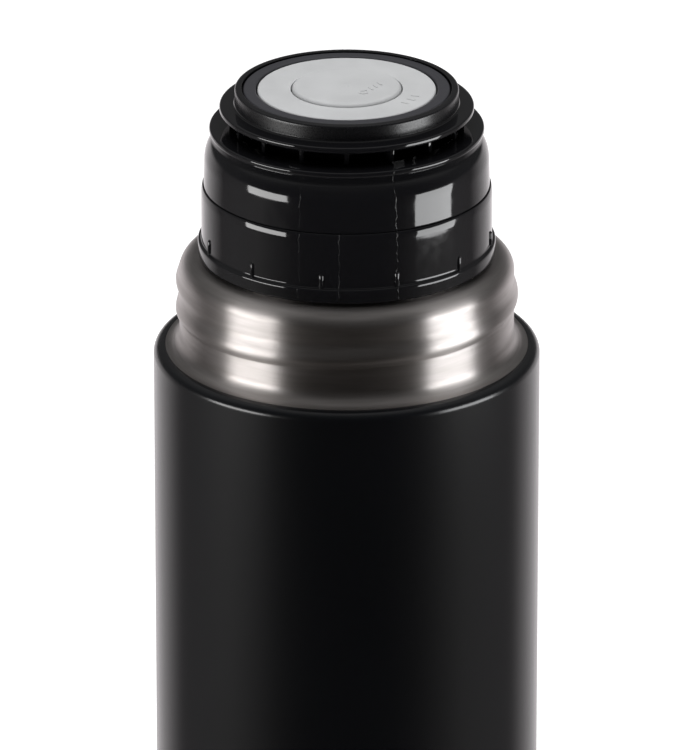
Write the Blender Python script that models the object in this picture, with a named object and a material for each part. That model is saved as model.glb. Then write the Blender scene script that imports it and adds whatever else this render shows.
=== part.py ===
"""Vacuum flask with a screw stopper.

A push button opens the stopper's valve, and the drink runs out of a slot all round.
"""

from math import atan2, cos, degrees, hypot, pi, radians, sin, tau

import bmesh
import bpy
from mathutils import Matrix, Vector

MM = 0.001                      # every size below is in millimetres
GAP = 0.3                       # between pieces that touch
ROUND = 36                      # facets round a big piece
SMALL_ROUND = 20                # facets round a piece inside the stopper
TINY_ROUND = 12
THREAD_ROW = 0.9                # height of one row of facets along a thread
FILLET_STEPS = 3                # facets round a small corner

# Painted casing
BODY_R = 35.0
CASING_WALL = 0.6
CASING_BOTTOM_Z = 3.2
PAINT_EDGE_R = 32.9
PAINT_EDGE_Z = 182.4
SHOULDER_R = 33.4               # where the level ledge meets the shoulder's curve
SHOULDER_Z = 180.7              # where the shoulder's curve meets the straight side

# Foot
FOOT_RIM_R = 34.7
FOOT_CORNER = 1.3
FOOT_CONTACT_R = 31.6           # inner edge of the flat ring that the flask stands on
FOOT_RECESS_Z = (3.0, 3.8)
FOOT_UPSTAND_Z = 8.5
TIP_HOLE_R = 1.9
BASE_PLATE_R = 30.6
BASE_PLATE_Z = (1.2, 2.7)
GETTER_X = 14.0
GETTER_R = 3.2
GETTER_Z = (6.0, 7.4)
CLIP_THICK = 0.4
CLIP_FOOT = 2.2
CLIP_WIDTH = 3.0

# Bare neck
NECK_R = 30.3
NECK_WALL = 0.6
DOME_EDGE_Z = 196.7
DOME_TOP_Z = 199.6
DOME_TOP_R = 27.0
MOUTH_UPSTAND_R = 24.6
MOUTH_Z = 201.3
FLARE_TOP_Z = 184.9
CUP_THREAD_PITCH = 4.8
CUP_THREAD_HEIGHT = 0.85
CUP_THREAD_FRONT_Z = 190.9      # height of the crest at the front, on its first turn
CUP_THREAD_TURNS = (-120, 300)  # where the thread starts and ends, in degrees from the front
CUP_THREAD_FLANKS = (3.2, 1.6)  # heights of the thread's flanks above and below its crest

# Inner vessel
VESSEL_R = 31.3
VESSEL_WALL = 0.6
VESSEL_FLOOR_Z = 10.0
VESSEL_CORNER = 7.0
INNER_WELD_Z = 20.0             # where the bottom is welded to the tube
VESSEL_SHOULDER_Z = 174.0
NECK_BORE_R = 23.2
LEDGE_R = 20.3
LEDGE_Z = 187.3
GASKET_R = 21.4                 # slips past the ridges of the neck's thread
VESSEL_TOP_Z = 201.6

# The stopper's own thread
STOPPER_PITCH = 4.5
STOPPER_THREAD_Z = (189.8, 198.6)
STOPPER_RIDGE = 1.4             # how far each ridge stands out of its wall
RIDGE_FOOT = 2.0                # width of a ridge at its foot
RIDGE_CREST = 1.0

# Stopper
PLUG_R = 21.0
PLUG_TOP_Z = 210.2
PLUG_STEP_Z = 190.3
PLUG_FOOT_R = 19.7
PLUG_BOTTOM_Z = 186.0
PLUG_WALL = 1.4
CHANNEL_R = 7.9
SEAT_R = 6.5
FOAM_R = 18.0
FOAM_Z = (188.0, 206.2)
LID_R = 19.3
LID_Z = (206.5, 208.5)
SKIRT_R = 26.3
SKIRT_BORE_R = 25.0
LIP_R = 26.9
LIP_BOTTOM_Z = 200.2
SEAM_Z = 213.2
STEP_R = 24.1                   # the upper sleeve is located on this step
COLLAR_R = 25.8
COLLAR_SHOULDER_Z = 217.7
COLLAR_NECK_R = 23.0            # under the lower flange
LOWER_FLANGE_R = 24.75
LOWER_FLANGE_Z = 224.4
THROAT_R = 20.3
UPPER_FLANGE_R = 22.9
UPPER_FLANGE_Z = 228.5
FLANGE_THICK = 1.2
RIM_R = 20.15
RIM_Z = 231.6
POCKET_R = 18.9
POCKET_Z = 229.2
SPIGOT_R = 17.2
SPIGOT_BORE_R = 15.2
CAP_FLOOR_Z = 213.4
CAP_FLOOR_TOP_Z = 214.6
RIB_COUNT = 12
RIB_SIZE = (1.0, 0.9, 3.4)
RIB_Z = 204.0
RIB_TURN = -70                  # from +X to the first rib, in degrees
VANE_COUNT = 16
VANE_SIZE = (3.0, 0.8)
VANE_R = 19.6

# Button and valve
PLATE_R = 16.05
PLATE_Z = 231.4
BUTTON_R = 9.85
BUTTON_Z = 231.9
BUTTON_BOTTOM_Z = 222.4
STEM_R = 2.6
STEM_TOP_Z = 229.7
STEM_FLANGE_Z = 225.7
STEM_FLANGE_R = 5.9
STEM_END_R = 1.9                # below the step that the valve head sits against
STEM_STEP_Z = 184.0
STEM_GROOVE_Z = (180.2, 181.0)
STEM_GROOVE_R = 1.4
STEM_BOTTOM_Z = 179.6
VALVE_R = 9.0
VALVE_Z = (181.2, 183.7)
SEAL_Z = (184.0, 185.7)
STEM_SEAL_R = 5.5
STEM_SEAL_Z = (211.0, 213.1)
CLIP_R = (1.7, 3.6)
CLIP_Z = (180.3, 180.9)
SPRING_R = 5.1
SPRING_WIRE = 0.9
SPRING_TURNS = 5
ROTOR_Z = (218.8, 221.4)
ROTOR_R = (6.7, 11.2)
SLEEVE_R = (11.6, 13.2)
SLEEVE_TOP_Z = 221.9
SLOT_SIZE = (3.0, 2.4, 5.0)
LATCH_TEETH = 8
TOOTH_HEIGHT = 0.9


def clear_scene():
    for old in list(bpy.data.objects):
        bpy.data.objects.remove(old)


def material(name, colour, roughness, metallic=0.0):
    made = bpy.data.materials.new(name)
    made.use_nodes = True
    shader = made.node_tree.nodes["Principled BSDF"]
    shader.inputs["Base Color"].default_value = (*colour, 1.0)
    shader.inputs["Roughness"].default_value = roughness
    shader.inputs["Metallic"].default_value = metallic
    return made


def body(name):
    """An empty on the flask's axis that carries the pieces of one moving body."""
    empty = bpy.data.objects.new(name, None)
    bpy.context.scene.collection.objects.link(empty)
    return empty


def node(name, bm, finish, parent):
    """Turn a finished bmesh into a smooth-shaded object."""
    bmesh.ops.recalc_face_normals(bm, faces=bm.faces)
    mesh = bpy.data.meshes.new(name)
    bm.to_mesh(mesh)
    bm.free()
    mesh.shade_smooth()
    mesh.set_sharp_from_angle(angle=radians(35))
    made = bpy.data.objects.new(name, mesh)
    made.data.materials.append(finish)
    made.parent = parent
    bpy.context.scene.collection.objects.link(made)
    return made


def turned(name, outline, finish, parent, facets=ROUND, relief=None):
    """Spin an outline of (radius, height) points round the axis.

    An outline that starts off the axis is closed into a ring.
    relief moves each point in or out by its place.
    """
    bm = bmesh.new()
    points = [bm.verts.new((radius * MM, 0.0, height * MM)) for radius, height in outline]
    edges = [bm.edges.new(pair) for pair in zip(points, points[1:])]
    if outline[0][0] > 0:
        edges.append(bm.edges.new((points[-1], points[0])))
    bmesh.ops.spin(bm, geom=points + edges, cent=(0, 0, 0), axis=(0, 0, 1), angle=tau, steps=facets)
    bmesh.ops.remove_doubles(bm, verts=bm.verts, dist=1e-6)
    if relief:
        for point in bm.verts:
            x, y, z = point.co
            radius = hypot(x, y)
            if radius > 0:
                shifted = radius + relief(radius / MM, degrees(atan2(y, x)) + 90.0, z / MM) * MM
                point.co = Vector((x * shifted / radius, y * shifted / radius, z))
    return node(name, bm, finish, parent)


def bend(r0, z0, r1, z1, steps=4):
    """A quarter of an ellipse that leaves (r0, z0) level, without its first point."""
    return [
        (r0 + (r1 - r0) * sin(pi / 2 * k / steps), z1 + (z0 - z1) * cos(pi / 2 * k / steps))
        for k in range(1, steps + 1)
    ]


def lead_in(r0, z0, r1, z1, steps=4):
    """A quarter of an ellipse that leaves (r0, z0) upright, without its first point."""
    return [
        (r1 + (r0 - r1) * cos(pi / 2 * k / steps), z0 + (z1 - z0) * sin(pi / 2 * k / steps))
        for k in range(1, steps + 1)
    ]


def rows(radius, top, bottom, step):
    """Points down a wall, close enough together to carry a thread."""
    count = max(2, round((top - bottom) / step))
    return [(radius, top + (bottom - top) * k / count) for k in range(count + 1)]


def block(bm, size, place, turn=0.0):
    """A box of this size, set out along +X by place and then turned round the flask's axis."""
    where = Matrix.Rotation(turn, 4, "Z") @ Matrix.Translation(Vector(place) * MM)
    bmesh.ops.create_cube(bm, size=1.0, matrix=where @ Matrix.Diagonal((*(Vector(size) * MM), 1.0)))


def helper(name, bm, parent):
    """A shape that only a Boolean uses."""
    made = node(name, bm, None, parent)
    made.hide_render = True
    made.display_type = "WIRE"
    return made


def joined(target, other, operation):
    modifier = target.modifiers.new(other.name, "BOOLEAN")
    modifier.operation = operation
    modifier.solver = "EXACT"
    modifier.object = other


def fade(value, start, end):
    """0 at start, 1 at end, straight between them."""
    return min(1.0, max(0.0, (value - start) / (end - start)))


# ---- the flask's body ----


def cup_thread(radius, angle, z):
    """Height of the rolled right-hand thread that the cup screws on."""
    if radius < NECK_R - 0.1:
        return 0.0
    first, last = CUP_THREAD_TURNS
    upper, lower = CUP_THREAD_FLANKS
    height = 0.0
    for turn in (-1, 0, 1):
        along = angle + 360 * turn
        ends = min(fade(along, first, first + 40), 1 - fade(along, last - 35, last))
        above = z - CUP_THREAD_FRONT_Z - CUP_THREAD_PITCH * along / 360
        if 0 <= above < upper:
            height = max(height, ends * (0.5 + 0.5 * cos(pi * above / upper)))
        elif -lower < above < 0:
            height = max(height, ends * (1 - (above / lower) ** 2))
    return height * CUP_THREAD_HEIGHT


def body_casing(finish, parent):
    inner = BODY_R - CASING_WALL
    under = PAINT_EDGE_Z - CASING_WALL
    outline = [(PAINT_EDGE_R, PAINT_EDGE_Z), (SHOULDER_R, PAINT_EDGE_Z)]
    outline += bend(SHOULDER_R, PAINT_EDGE_Z, BODY_R, SHOULDER_Z, 4)
    outline += [(BODY_R, CASING_BOTTOM_Z), (inner, CASING_BOTTOM_Z), (inner, SHOULDER_Z)]
    outline += [(inner - 0.3, under - 0.4), (SHOULDER_R, under), (PAINT_EDGE_R, under)]
    turned("body_casing", outline, finish, parent)


def neck_ring(finish, parent):
    inner = NECK_R - NECK_WALL
    edge = PAINT_EDGE_R - GAP
    outline = [(MOUTH_UPSTAND_R, MOUTH_Z), (MOUTH_UPSTAND_R, DOME_TOP_Z + 0.2)]
    outline += [(DOME_TOP_R, DOME_TOP_Z)]
    outline += bend(DOME_TOP_R, DOME_TOP_Z, NECK_R, DOME_EDGE_Z, 4)
    outline += rows(NECK_R, DOME_EDGE_Z, FLARE_TOP_Z, THREAD_ROW)[1:]
    outline += lead_in(NECK_R, FLARE_TOP_Z, edge, PAINT_EDGE_Z, 3)
    outline += [(edge, PAINT_EDGE_Z - 0.6), (inner, FLARE_TOP_Z - 0.9), (inner, DOME_EDGE_Z)]
    outline += [(inner - 0.8, DOME_EDGE_Z + 1.6), (DOME_TOP_R, DOME_TOP_Z - NECK_WALL)]
    outline += [(MOUTH_UPSTAND_R - 0.5, DOME_TOP_Z - NECK_WALL), (MOUTH_UPSTAND_R - 0.5, MOUTH_Z)]
    turned("neck_ring", outline, finish, parent, relief=cup_thread)


def stopper_thread(angle, z, shift):
    """Height of the stopper's thread, from 0 to 1, with its crest moved up by shift turns."""
    low, high = STOPPER_THREAD_Z
    ends = min(fade(z, low, low + 0.8), 1 - fade(z, high - 0.8, high))
    crest = STOPPER_PITCH * (angle / 360 + shift)
    away = abs((z - crest + STOPPER_PITCH / 2) % STOPPER_PITCH - STOPPER_PITCH / 2)
    return ends * (1 - fade(away, RIDGE_CREST / 2, RIDGE_FOOT / 2))


def neck_thread(radius, angle, z):
    if abs(radius - NECK_BORE_R) > 0.1 or z < LEDGE_Z + 1:
        return 0.0
    return -STOPPER_RIDGE * stopper_thread(angle, z, 0.5)


def plug_thread(radius, angle, z):
    if abs(radius - PLUG_R) > 0.1:
        return 0.0
    return (STOPPER_RIDGE + 0.1) * stopper_thread(angle, z, 0.0)


def inner_vessel(finish, parent):
    """The drawn tube that holds the drink, with its shoulder and threaded neck."""
    low, high = STOPPER_THREAD_Z
    outer = VESSEL_R + VESSEL_WALL
    shoulder_top = LEDGE_Z - 1.2
    inside = [(NECK_BORE_R, VESSEL_TOP_Z), *rows(NECK_BORE_R, high, low, THREAD_ROW)]
    inside += [(NECK_BORE_R, LEDGE_Z), (LEDGE_R, LEDGE_Z)]
    inside += bend(LEDGE_R, shoulder_top, VESSEL_R, VESSEL_SHOULDER_Z, FILLET_STEPS)
    inside += [(VESSEL_R, INNER_WELD_Z)]
    outside = [(outer, INNER_WELD_Z), (outer, VESSEL_SHOULDER_Z)]
    neck = NECK_BORE_R + VESSEL_WALL
    outside += lead_in(outer, VESSEL_SHOULDER_Z, neck, shoulder_top + 0.4, FILLET_STEPS)
    outside += [(neck, VESSEL_TOP_Z)]
    turned("inner_vessel", inside + outside, finish, parent, relief=neck_thread)


def inner_bottom(finish, parent):
    """The dished bottom that is welded into the tube."""
    outer = VESSEL_R + VESSEL_WALL
    top = INNER_WELD_Z - GAP
    corner_z = VESSEL_FLOOR_Z + VESSEL_CORNER
    flat = VESSEL_R - VESSEL_CORNER
    below = VESSEL_FLOOR_Z - VESSEL_WALL
    outline = [(0.0, VESSEL_FLOOR_Z), (flat, VESSEL_FLOOR_Z)]
    outline += bend(flat, VESSEL_FLOOR_Z, VESSEL_R, corner_z, FILLET_STEPS)
    outline += [(VESSEL_R, top), (outer, top), (outer, corner_z)]
    outline += [*lead_in(outer, corner_z, flat, below, FILLET_STEPS), (0.0, below)]
    turned("inner_bottom", outline, finish, parent)


def radiation_foil(finish, parent):
    low, high = VESSEL_FLOOR_Z + VESSEL_CORNER + 1, VESSEL_SHOULDER_Z - 2
    inner = VESSEL_R + VESSEL_WALL + GAP
    outline = [(inner + 0.25, high), (inner + 0.25, low), (inner, low), (inner, high)]
    turned("radiation_foil", outline, finish, parent)


def outer_bottom(finish, parent):
    upstand = BODY_R - CASING_WALL - GAP
    inner = upstand - CASING_WALL - 0.1
    below = CASING_BOTTOM_Z - GAP
    low, high = FOOT_RECESS_Z
    outline = [(upstand, FOOT_UPSTAND_Z), (upstand, below), (FOOT_RIM_R, below)]
    outline += [(FOOT_RIM_R, FOOT_CORNER)]
    outline += lead_in(FOOT_RIM_R, FOOT_CORNER, FOOT_RIM_R - FOOT_CORNER, 0.0, FILLET_STEPS)
    outline += [(FOOT_CONTACT_R, 0.0), (FOOT_CONTACT_R - 0.6, low)]
    outline += [(TIP_HOLE_R, low), (TIP_HOLE_R, high)]
    outline += [(inner, high), (inner, FOOT_UPSTAND_Z)]
    turned("outer_bottom", outline, finish, parent)


def base_plate(finish, parent):
    low, high = BASE_PLATE_Z
    outline = [(0.0, high), (BASE_PLATE_R, high), (BASE_PLATE_R, low + 0.3)]
    outline += [(BASE_PLATE_R - 0.4, low), (0.0, low)]
    turned("base_plate", outline, finish, parent)


def vacuum_seal(finish, parent):
    """A bead of solder glass that closed the pump-out hole in the bottom."""
    low, floor = FOOT_RECESS_Z
    stalk, bead = TIP_HOLE_R - GAP, TIP_HOLE_R + 0.9
    outline = [(0.0, floor + 1.2), (bead - 0.8, floor + 1.1), (bead, floor + 0.6), (bead, floor + GAP)]
    outline += [(stalk, floor + GAP), (stalk, low + 0.1), (0.0, low)]
    turned("vacuum_seal", outline, finish, parent, TINY_ROUND)


def getter(finish, parent):
    low, high = GETTER_Z
    outline = [(0, high), (GETTER_R, high), (GETTER_R, low), (0, low)]
    pill = turned("getter", outline, finish, parent, TINY_ROUND)
    pill.location.x = GETTER_X * MM


def getter_clip(finish, parent):
    """A strip bent round the pill: a leg on each side, a shelf below it and feet on the vessel's floor."""
    top = VESSEL_FLOOR_Z - VESSEL_WALL - GAP
    shelf = GETTER_Z[0] - GAP
    leg = GETTER_R + GAP
    out = leg + CLIP_THICK
    foot = leg + CLIP_FOOT
    under = top - CLIP_THICK
    below = shelf - CLIP_THICK
    side = [(-foot, top), (-foot, under), (-out, under), (-out, below), (out, below), (out, under)]
    side += [(foot, under), (foot, top), (leg, top), (leg, shelf), (-leg, shelf), (-leg, top)]
    bm = bmesh.new()
    outline = [bm.verts.new(((GETTER_X + x) * MM, -CLIP_WIDTH / 2 * MM, z * MM)) for x, z in side]
    face = bm.faces.new(outline)
    pulled = bmesh.ops.extrude_face_region(bm, geom=[face])["geom"]
    moved = [item for item in pulled if isinstance(item, bmesh.types.BMVert)]
    bmesh.ops.translate(bm, verts=moved, vec=(0, CLIP_WIDTH * MM, 0))
    node("getter_clip", bm, finish, parent)


# ---- the stopper ----


def plug_shell(finish, parent):
    floor = PLUG_BOTTOM_Z + 1.6
    channel_top = PLUG_TOP_Z - 1.2
    foot_bore = PLUG_FOOT_R - PLUG_WALL
    outline = [(PLUG_R, PLUG_TOP_Z), *rows(PLUG_R, STOPPER_THREAD_Z[1], PLUG_STEP_Z, THREAD_ROW)]
    outline += [(PLUG_FOOT_R, PLUG_STEP_Z), (PLUG_FOOT_R, PLUG_BOTTOM_Z), (SEAT_R, PLUG_BOTTOM_Z)]
    outline += [(SEAT_R, PLUG_BOTTOM_Z + 0.6), (CHANNEL_R, floor), (CHANNEL_R, channel_top)]
    outline += [(CHANNEL_R + 1.2, channel_top), (CHANNEL_R + 1.2, floor), (foot_bore, floor)]
    outline += [(foot_bore, PLUG_STEP_Z + 0.8), (PLUG_R - PLUG_WALL, PLUG_STEP_Z + 1.6)]
    outline += [(PLUG_R - PLUG_WALL, PLUG_TOP_Z)]
    turned("plug_shell", outline, finish, parent, relief=plug_thread)


def ring(name, inner, outer, low, high, finish, parent, facets=SMALL_ROUND):
    """A plain turned ring with a small chamfer on its outer edges."""
    cut = min(0.3, (high - low) / 4)
    outline = [(inner, high), (outer - cut, high), (outer, high - cut)]
    outline += [(outer, low + cut), (outer - cut, low), (inner, low)]
    turned(name, outline, finish, parent, facets)


def neck_gasket(finish, parent):
    low, high = LEDGE_Z + GAP, PLUG_STEP_Z - GAP
    ring("neck_gasket", PLUG_FOOT_R + GAP, GASKET_R, low, high, finish, parent, ROUND)


def stopper_skirt(finish, parent):
    top = SEAM_Z
    web = PLUG_TOP_Z + GAP
    bore = PLUG_R - PLUG_WALL - GAP
    outline = [(SKIRT_R - 0.15, top), (SKIRT_R, top - 1.2), (SKIRT_R, LIP_BOTTOM_Z + 3.6)]
    outline += [(SKIRT_R + 0.35, LIP_BOTTOM_Z + 3.0), (LIP_R, LIP_BOTTOM_Z + 1.8)]
    outline += [(LIP_R, LIP_BOTTOM_Z + 0.3), (LIP_R - 0.3, LIP_BOTTOM_Z)]
    outline += [(SKIRT_BORE_R, LIP_BOTTOM_Z), (SKIRT_BORE_R, web), (bore, web)]
    outline += [(bore, top - 0.7), (STEP_R, top - 0.7), (STEP_R, top)]
    skirt = turned("stopper_skirt", outline, finish, parent)
    bm = bmesh.new()
    for k in range(RIB_COUNT):
        block(bm, RIB_SIZE, (SKIRT_R - 0.1, 0.0, RIB_Z), radians(RIB_TURN + 360 / RIB_COUNT * k))
    joined(skirt, helper("skirt_ribs", bm, parent), "UNION")


def pour_collar(finish, parent):
    flange_low = LOWER_FLANGE_Z - FLANGE_THICK
    bottom = SEAM_Z + GAP
    outline = [(THROAT_R, LOWER_FLANGE_Z), (LOWER_FLANGE_R - 0.3, LOWER_FLANGE_Z)]
    outline += [(LOWER_FLANGE_R, LOWER_FLANGE_Z - 0.3), (LOWER_FLANGE_R, LOWER_FLANGE_Z - 0.6)]
    outline += [(LOWER_FLANGE_R - 0.6, flange_low), (COLLAR_NECK_R + 0.6, flange_low - 0.2)]
    outline += bend(COLLAR_NECK_R, flange_low - 0.3, COLLAR_R - 0.1, COLLAR_SHOULDER_Z, 4)[1:]
    outline += [(COLLAR_R, bottom), (COLLAR_R - 1.4, bottom), (COLLAR_R - 1.5, COLLAR_SHOULDER_Z)]
    outline += [(COLLAR_NECK_R - 0.4, flange_low - 1.8), (THROAT_R, LOWER_FLANGE_Z - 1.6)]
    turned("pour_collar", outline, finish, parent)


def top_cap(finish, parent):
    flange_low = UPPER_FLANGE_Z - FLANGE_THICK
    outline = [(RIM_R - 0.5, RIM_Z), (RIM_R, RIM_Z - 0.5), (RIM_R, UPPER_FLANGE_Z + 0.1)]
    outline += [(UPPER_FLANGE_R - 0.3, UPPER_FLANGE_Z), (UPPER_FLANGE_R, UPPER_FLANGE_Z - 0.4)]
    outline += [(UPPER_FLANGE_R, flange_low + 0.3), (UPPER_FLANGE_R - 0.3, flange_low)]
    outline += [(SPIGOT_R, flange_low), (SPIGOT_R, CAP_FLOOR_Z), (STEM_R + 0.4, CAP_FLOOR_Z)]
    outline += [(STEM_R + 0.4, CAP_FLOOR_TOP_Z), (SPIGOT_BORE_R, CAP_FLOOR_TOP_Z)]
    outline += [(SPIGOT_BORE_R, POCKET_Z), (POCKET_R, POCKET_Z), (POCKET_R, RIM_Z)]
    cap = turned("top_cap", outline, finish, parent)
    bm = bmesh.new()
    low = LOWER_FLANGE_Z + GAP
    height = flange_low - low + 0.4
    for k in range(VANE_COUNT):
        block(bm, (*VANE_SIZE, height), (VANE_R, 0.0, low + height / 2), tau * k / VANE_COUNT)
    joined(cap, helper("cap_vanes", bm, parent), "UNION")


def bezel_ring(finish, parent):
    low, high = POCKET_Z + GAP, RIM_Z - 0.15
    ring("bezel_ring", PLATE_R + GAP, POCKET_R - GAP, low, high, finish, parent, ROUND)


def top_plate(finish, parent):
    inner = BUTTON_R + GAP
    under = POCKET_Z + GAP
    outline = [(inner, PLATE_Z), (PLATE_R - 0.3, PLATE_Z), (PLATE_R, PLATE_Z - 0.3)]
    outline += [(PLATE_R, under), (inner + 1.0, under)]
    outline += [(inner + 1.0, BUTTON_BOTTOM_Z), (inner, BUTTON_BOTTOM_Z)]
    turned("top_plate", outline, finish, parent)


def button(finish, parent):
    under = BUTTON_Z - 1.5
    bore = STEM_R + GAP
    hub_low = STEM_FLANGE_Z + GAP
    outline = [(0, BUTTON_Z), (BUTTON_R - 0.5, BUTTON_Z)]
    outline += bend(BUTTON_R - 0.5, BUTTON_Z, BUTTON_R, BUTTON_Z - 0.5, FILLET_STEPS)
    outline += [(BUTTON_R, BUTTON_BOTTOM_Z), (BUTTON_R - 1.1, BUTTON_BOTTOM_Z)]
    outline += [(BUTTON_R - 1.1, under), (bore + 1.6, under), (bore + 1.6, hub_low)]
    outline += [(bore, hub_low), (bore, under), (0, under)]
    turned("button", outline, finish, parent)


def valve_stem(finish, parent):
    flange_low = STEM_FLANGE_Z - 1.2
    groove_low, groove_high = STEM_GROOVE_Z
    outline = [(0, STEM_TOP_Z), (STEM_R - 0.3, STEM_TOP_Z), (STEM_R, STEM_TOP_Z - 0.3)]
    outline += [(STEM_R, STEM_FLANGE_Z), (STEM_FLANGE_R, STEM_FLANGE_Z)]
    outline += [(STEM_FLANGE_R, flange_low), (STEM_R, flange_low)]
    outline += [(STEM_R, STEM_STEP_Z), (STEM_END_R, STEM_STEP_Z), (STEM_END_R, groove_high)]
    outline += [(STEM_GROOVE_R, groove_high), (STEM_GROOVE_R, groove_low), (STEM_END_R, groove_low)]
    outline += [(STEM_END_R, STEM_BOTTOM_Z), (0, STEM_BOTTOM_Z)]
    turned("valve_stem", outline, finish, parent, TINY_ROUND)


def valve_head(finish, parent):
    low, high = VALVE_Z
    bore = STEM_END_R + GAP
    outline = [(bore, high), (VALVE_R, high), (VALVE_R, high - 0.8), (VALVE_R / 2, low), (bore, low)]
    turned("valve_head", outline, finish, parent, SMALL_ROUND)


def valve_seal(finish, parent):
    """A washer with a raised lip that closes on the seat in the plug's floor."""
    low, high = SEAL_Z
    bore = STEM_R + GAP
    outline = [(bore, high - 0.5), (SEAT_R - 0.9, high - 0.5), (SEAT_R + 0.1, high)]
    outline += [(VALVE_R - 0.8, high), (VALVE_R - 0.4, high - 0.4), (VALVE_R - 0.4, low)]
    outline += [(bore, low)]
    turned("valve_seal", outline, finish, parent, SMALL_ROUND)


def stem_seal(finish, parent):
    """A flanged lip seal that wipes the stem below the cap's floor."""
    low, high = STEM_SEAL_Z
    bore = STEM_R + 0.25
    outline = [(bore, high), (STEM_SEAL_R, high), (STEM_SEAL_R, high - 0.8)]
    outline += [(bore + 1.0, high - 1.1), (bore + 0.6, low), (bore, low)]
    turned("stem_seal", outline, finish, parent, TINY_ROUND)


def stem_clip(finish, parent):
    """A flat C that snaps into the stem's groove."""
    low, high = CLIP_Z
    bm = bmesh.new()
    steps = 12
    opening = radians(50)
    angles = [opening + (tau - 2 * opening) * k / steps for k in range(steps + 1)]
    sides = []
    for radius in CLIP_R:
        places = [(radius * cos(a) * MM, radius * sin(a) * MM, low * MM) for a in angles]
        sides.append([bm.verts.new(place) for place in places])
    a, b = sides
    faces = [bm.faces.new((a[k], a[k + 1], b[k + 1], b[k])) for k in range(steps)]
    pulled = bmesh.ops.extrude_face_region(bm, geom=faces)["geom"]
    moved = [item for item in pulled if isinstance(item, bmesh.types.BMVert)]
    bmesh.ops.translate(bm, verts=moved, vec=(0, 0, (high - low) * MM))
    node("stem_clip", bm, finish, parent)


def button_spring(finish, parent):
    low = CAP_FLOOR_TOP_Z + GAP + SPRING_WIRE / 2
    high = STEM_FLANGE_Z - 1.2 - GAP - SPRING_WIRE / 2
    steps = 12 * SPRING_TURNS
    curve = bpy.data.curves.new("button_spring", "CURVE")
    curve.dimensions = "3D"
    curve.bevel_depth = SPRING_WIRE / 2 * MM
    curve.bevel_resolution = 0
    curve.use_fill_caps = True
    spline = curve.splines.new("POLY")
    spline.points.add(steps)
    for k, point in enumerate(spline.points):
        angle = tau * SPRING_TURNS * k / steps
        height = low + (high - low) * k / steps
        point.co = (SPRING_R * cos(angle) * MM, SPRING_R * sin(angle) * MM, height * MM, 1.0)
    curve.materials.append(finish)
    spring = bpy.data.objects.new("button_spring", curve)
    spring.parent = parent
    bpy.context.scene.collection.objects.link(spring)


def latch_sleeve(finish, parent):
    """The fixed half of the latch: a sleeve with slots down which the rotor's lugs drop."""
    inner, outer = SLEEVE_R
    low = CAP_FLOOR_TOP_Z + GAP
    outline = [(outer, SLEEVE_TOP_Z), (outer, low), (inner, low), (inner, SLEEVE_TOP_Z)]
    sleeve = turned("latch_sleeve", outline, finish, parent, SMALL_ROUND)
    bm = bmesh.new()
    slots = LATCH_TEETH // 2
    place = ((inner + outer) / 2, 0.0, SLEEVE_TOP_Z - 0.4)
    for k in range(slots):
        block(bm, SLOT_SIZE, place, tau * k / slots)
    joined(sleeve, helper("sleeve_slots", bm, parent), "DIFFERENCE")


def latch_rotor(finish, parent):
    """The turning half: a saw-toothed ring that each press of the button moves on by a tooth."""
    low, high = ROTOR_Z
    bm = bmesh.new()
    steps = LATCH_TEETH * 4
    loops = {}
    for key, radius in zip(("in", "out"), ROTOR_R):
        for level in ("low", "high"):
            loops[key, level] = []
            for k in range(steps):
                angle = tau * k / steps
                drop = TOOTH_HEIGHT * (k % 4) / 3
                z = low if level == "low" else high - drop
                place = (radius * cos(angle) * MM, radius * sin(angle) * MM, z * MM)
                loops[key, level].append(bm.verts.new(place))
    around = [("in", "low"), ("out", "low"), ("out", "high"), ("in", "high")]
    for first, second in zip(around, around[1:] + around[:1]):
        for k in range(steps):
            after = (k + 1) % steps
            a, b = loops[first], loops[second]
            bm.faces.new((a[k], a[after], b[after], b[k]))
    node("latch_rotor", bm, finish, parent)


def main():
    clear_scene()
    paint = material("matt_black_paint", (0.012, 0.013, 0.016), 0.45)
    brushed = material("brushed_steel", (0.60, 0.57, 0.55), 0.32, 1.0)
    polished = material("polished_steel", (0.68, 0.67, 0.66), 0.22, 1.0)
    foil = material("aluminium_foil", (0.85, 0.85, 0.86), 0.25, 1.0)
    gloss = material("gloss_black_plastic", (0.008, 0.008, 0.010), 0.12)
    black = material("satin_black_plastic", (0.012, 0.012, 0.014), 0.3)
    grey = material("grey_plastic", (0.52, 0.53, 0.54), 0.4)
    white = material("white_plastic", (0.75, 0.75, 0.73), 0.4)
    silicone = material("silicone", (0.62, 0.63, 0.62), 0.55)
    foam = material("foam", (0.80, 0.76, 0.62), 0.9)
    glass = material("solder_glass", (0.20, 0.22, 0.20), 0.2)
    pill = material("getter_metal", (0.28, 0.28, 0.30), 0.5, 1.0)
    wire = material("spring_wire", (0.62, 0.62, 0.62), 0.25, 1.0)

    flask = body("flask")
    body_casing(paint, flask)
    neck_ring(brushed, flask)
    inner_vessel(polished, flask)
    inner_bottom(polished, flask)
    radiation_foil(foil, flask)
    outer_bottom(paint, flask)
    base_plate(black, flask)
    vacuum_seal(glass, flask)
    getter(pill, flask)
    getter_clip(wire, flask)

    gasket = body("gasket")
    neck_gasket(silicone, gasket)

    stopper = body("stopper")
    plug_shell(black, stopper)
    ring("plug_insulation", CHANNEL_R + 1.5, FOAM_R, *FOAM_Z, foam, stopper)
    ring("plug_lid", CHANNEL_R + 1.5, LID_R, *LID_Z, black, stopper)
    stopper_skirt(gloss, stopper)
    pour_collar(gloss, stopper)
    top_cap(gloss, stopper)
    bezel_ring(black, stopper)
    top_plate(grey, stopper)
    stem_seal(silicone, stopper)
    latch_sleeve(white, stopper)
    button_spring(wire, stopper)

    plunger = body("plunger")
    button(grey, plunger)
    valve_stem(white, plunger)
    valve_head(white, plunger)
    valve_seal(silicone, plunger)
    stem_clip(wire, plunger)
    latch_rotor(white, body("rotor"))


main()
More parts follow.
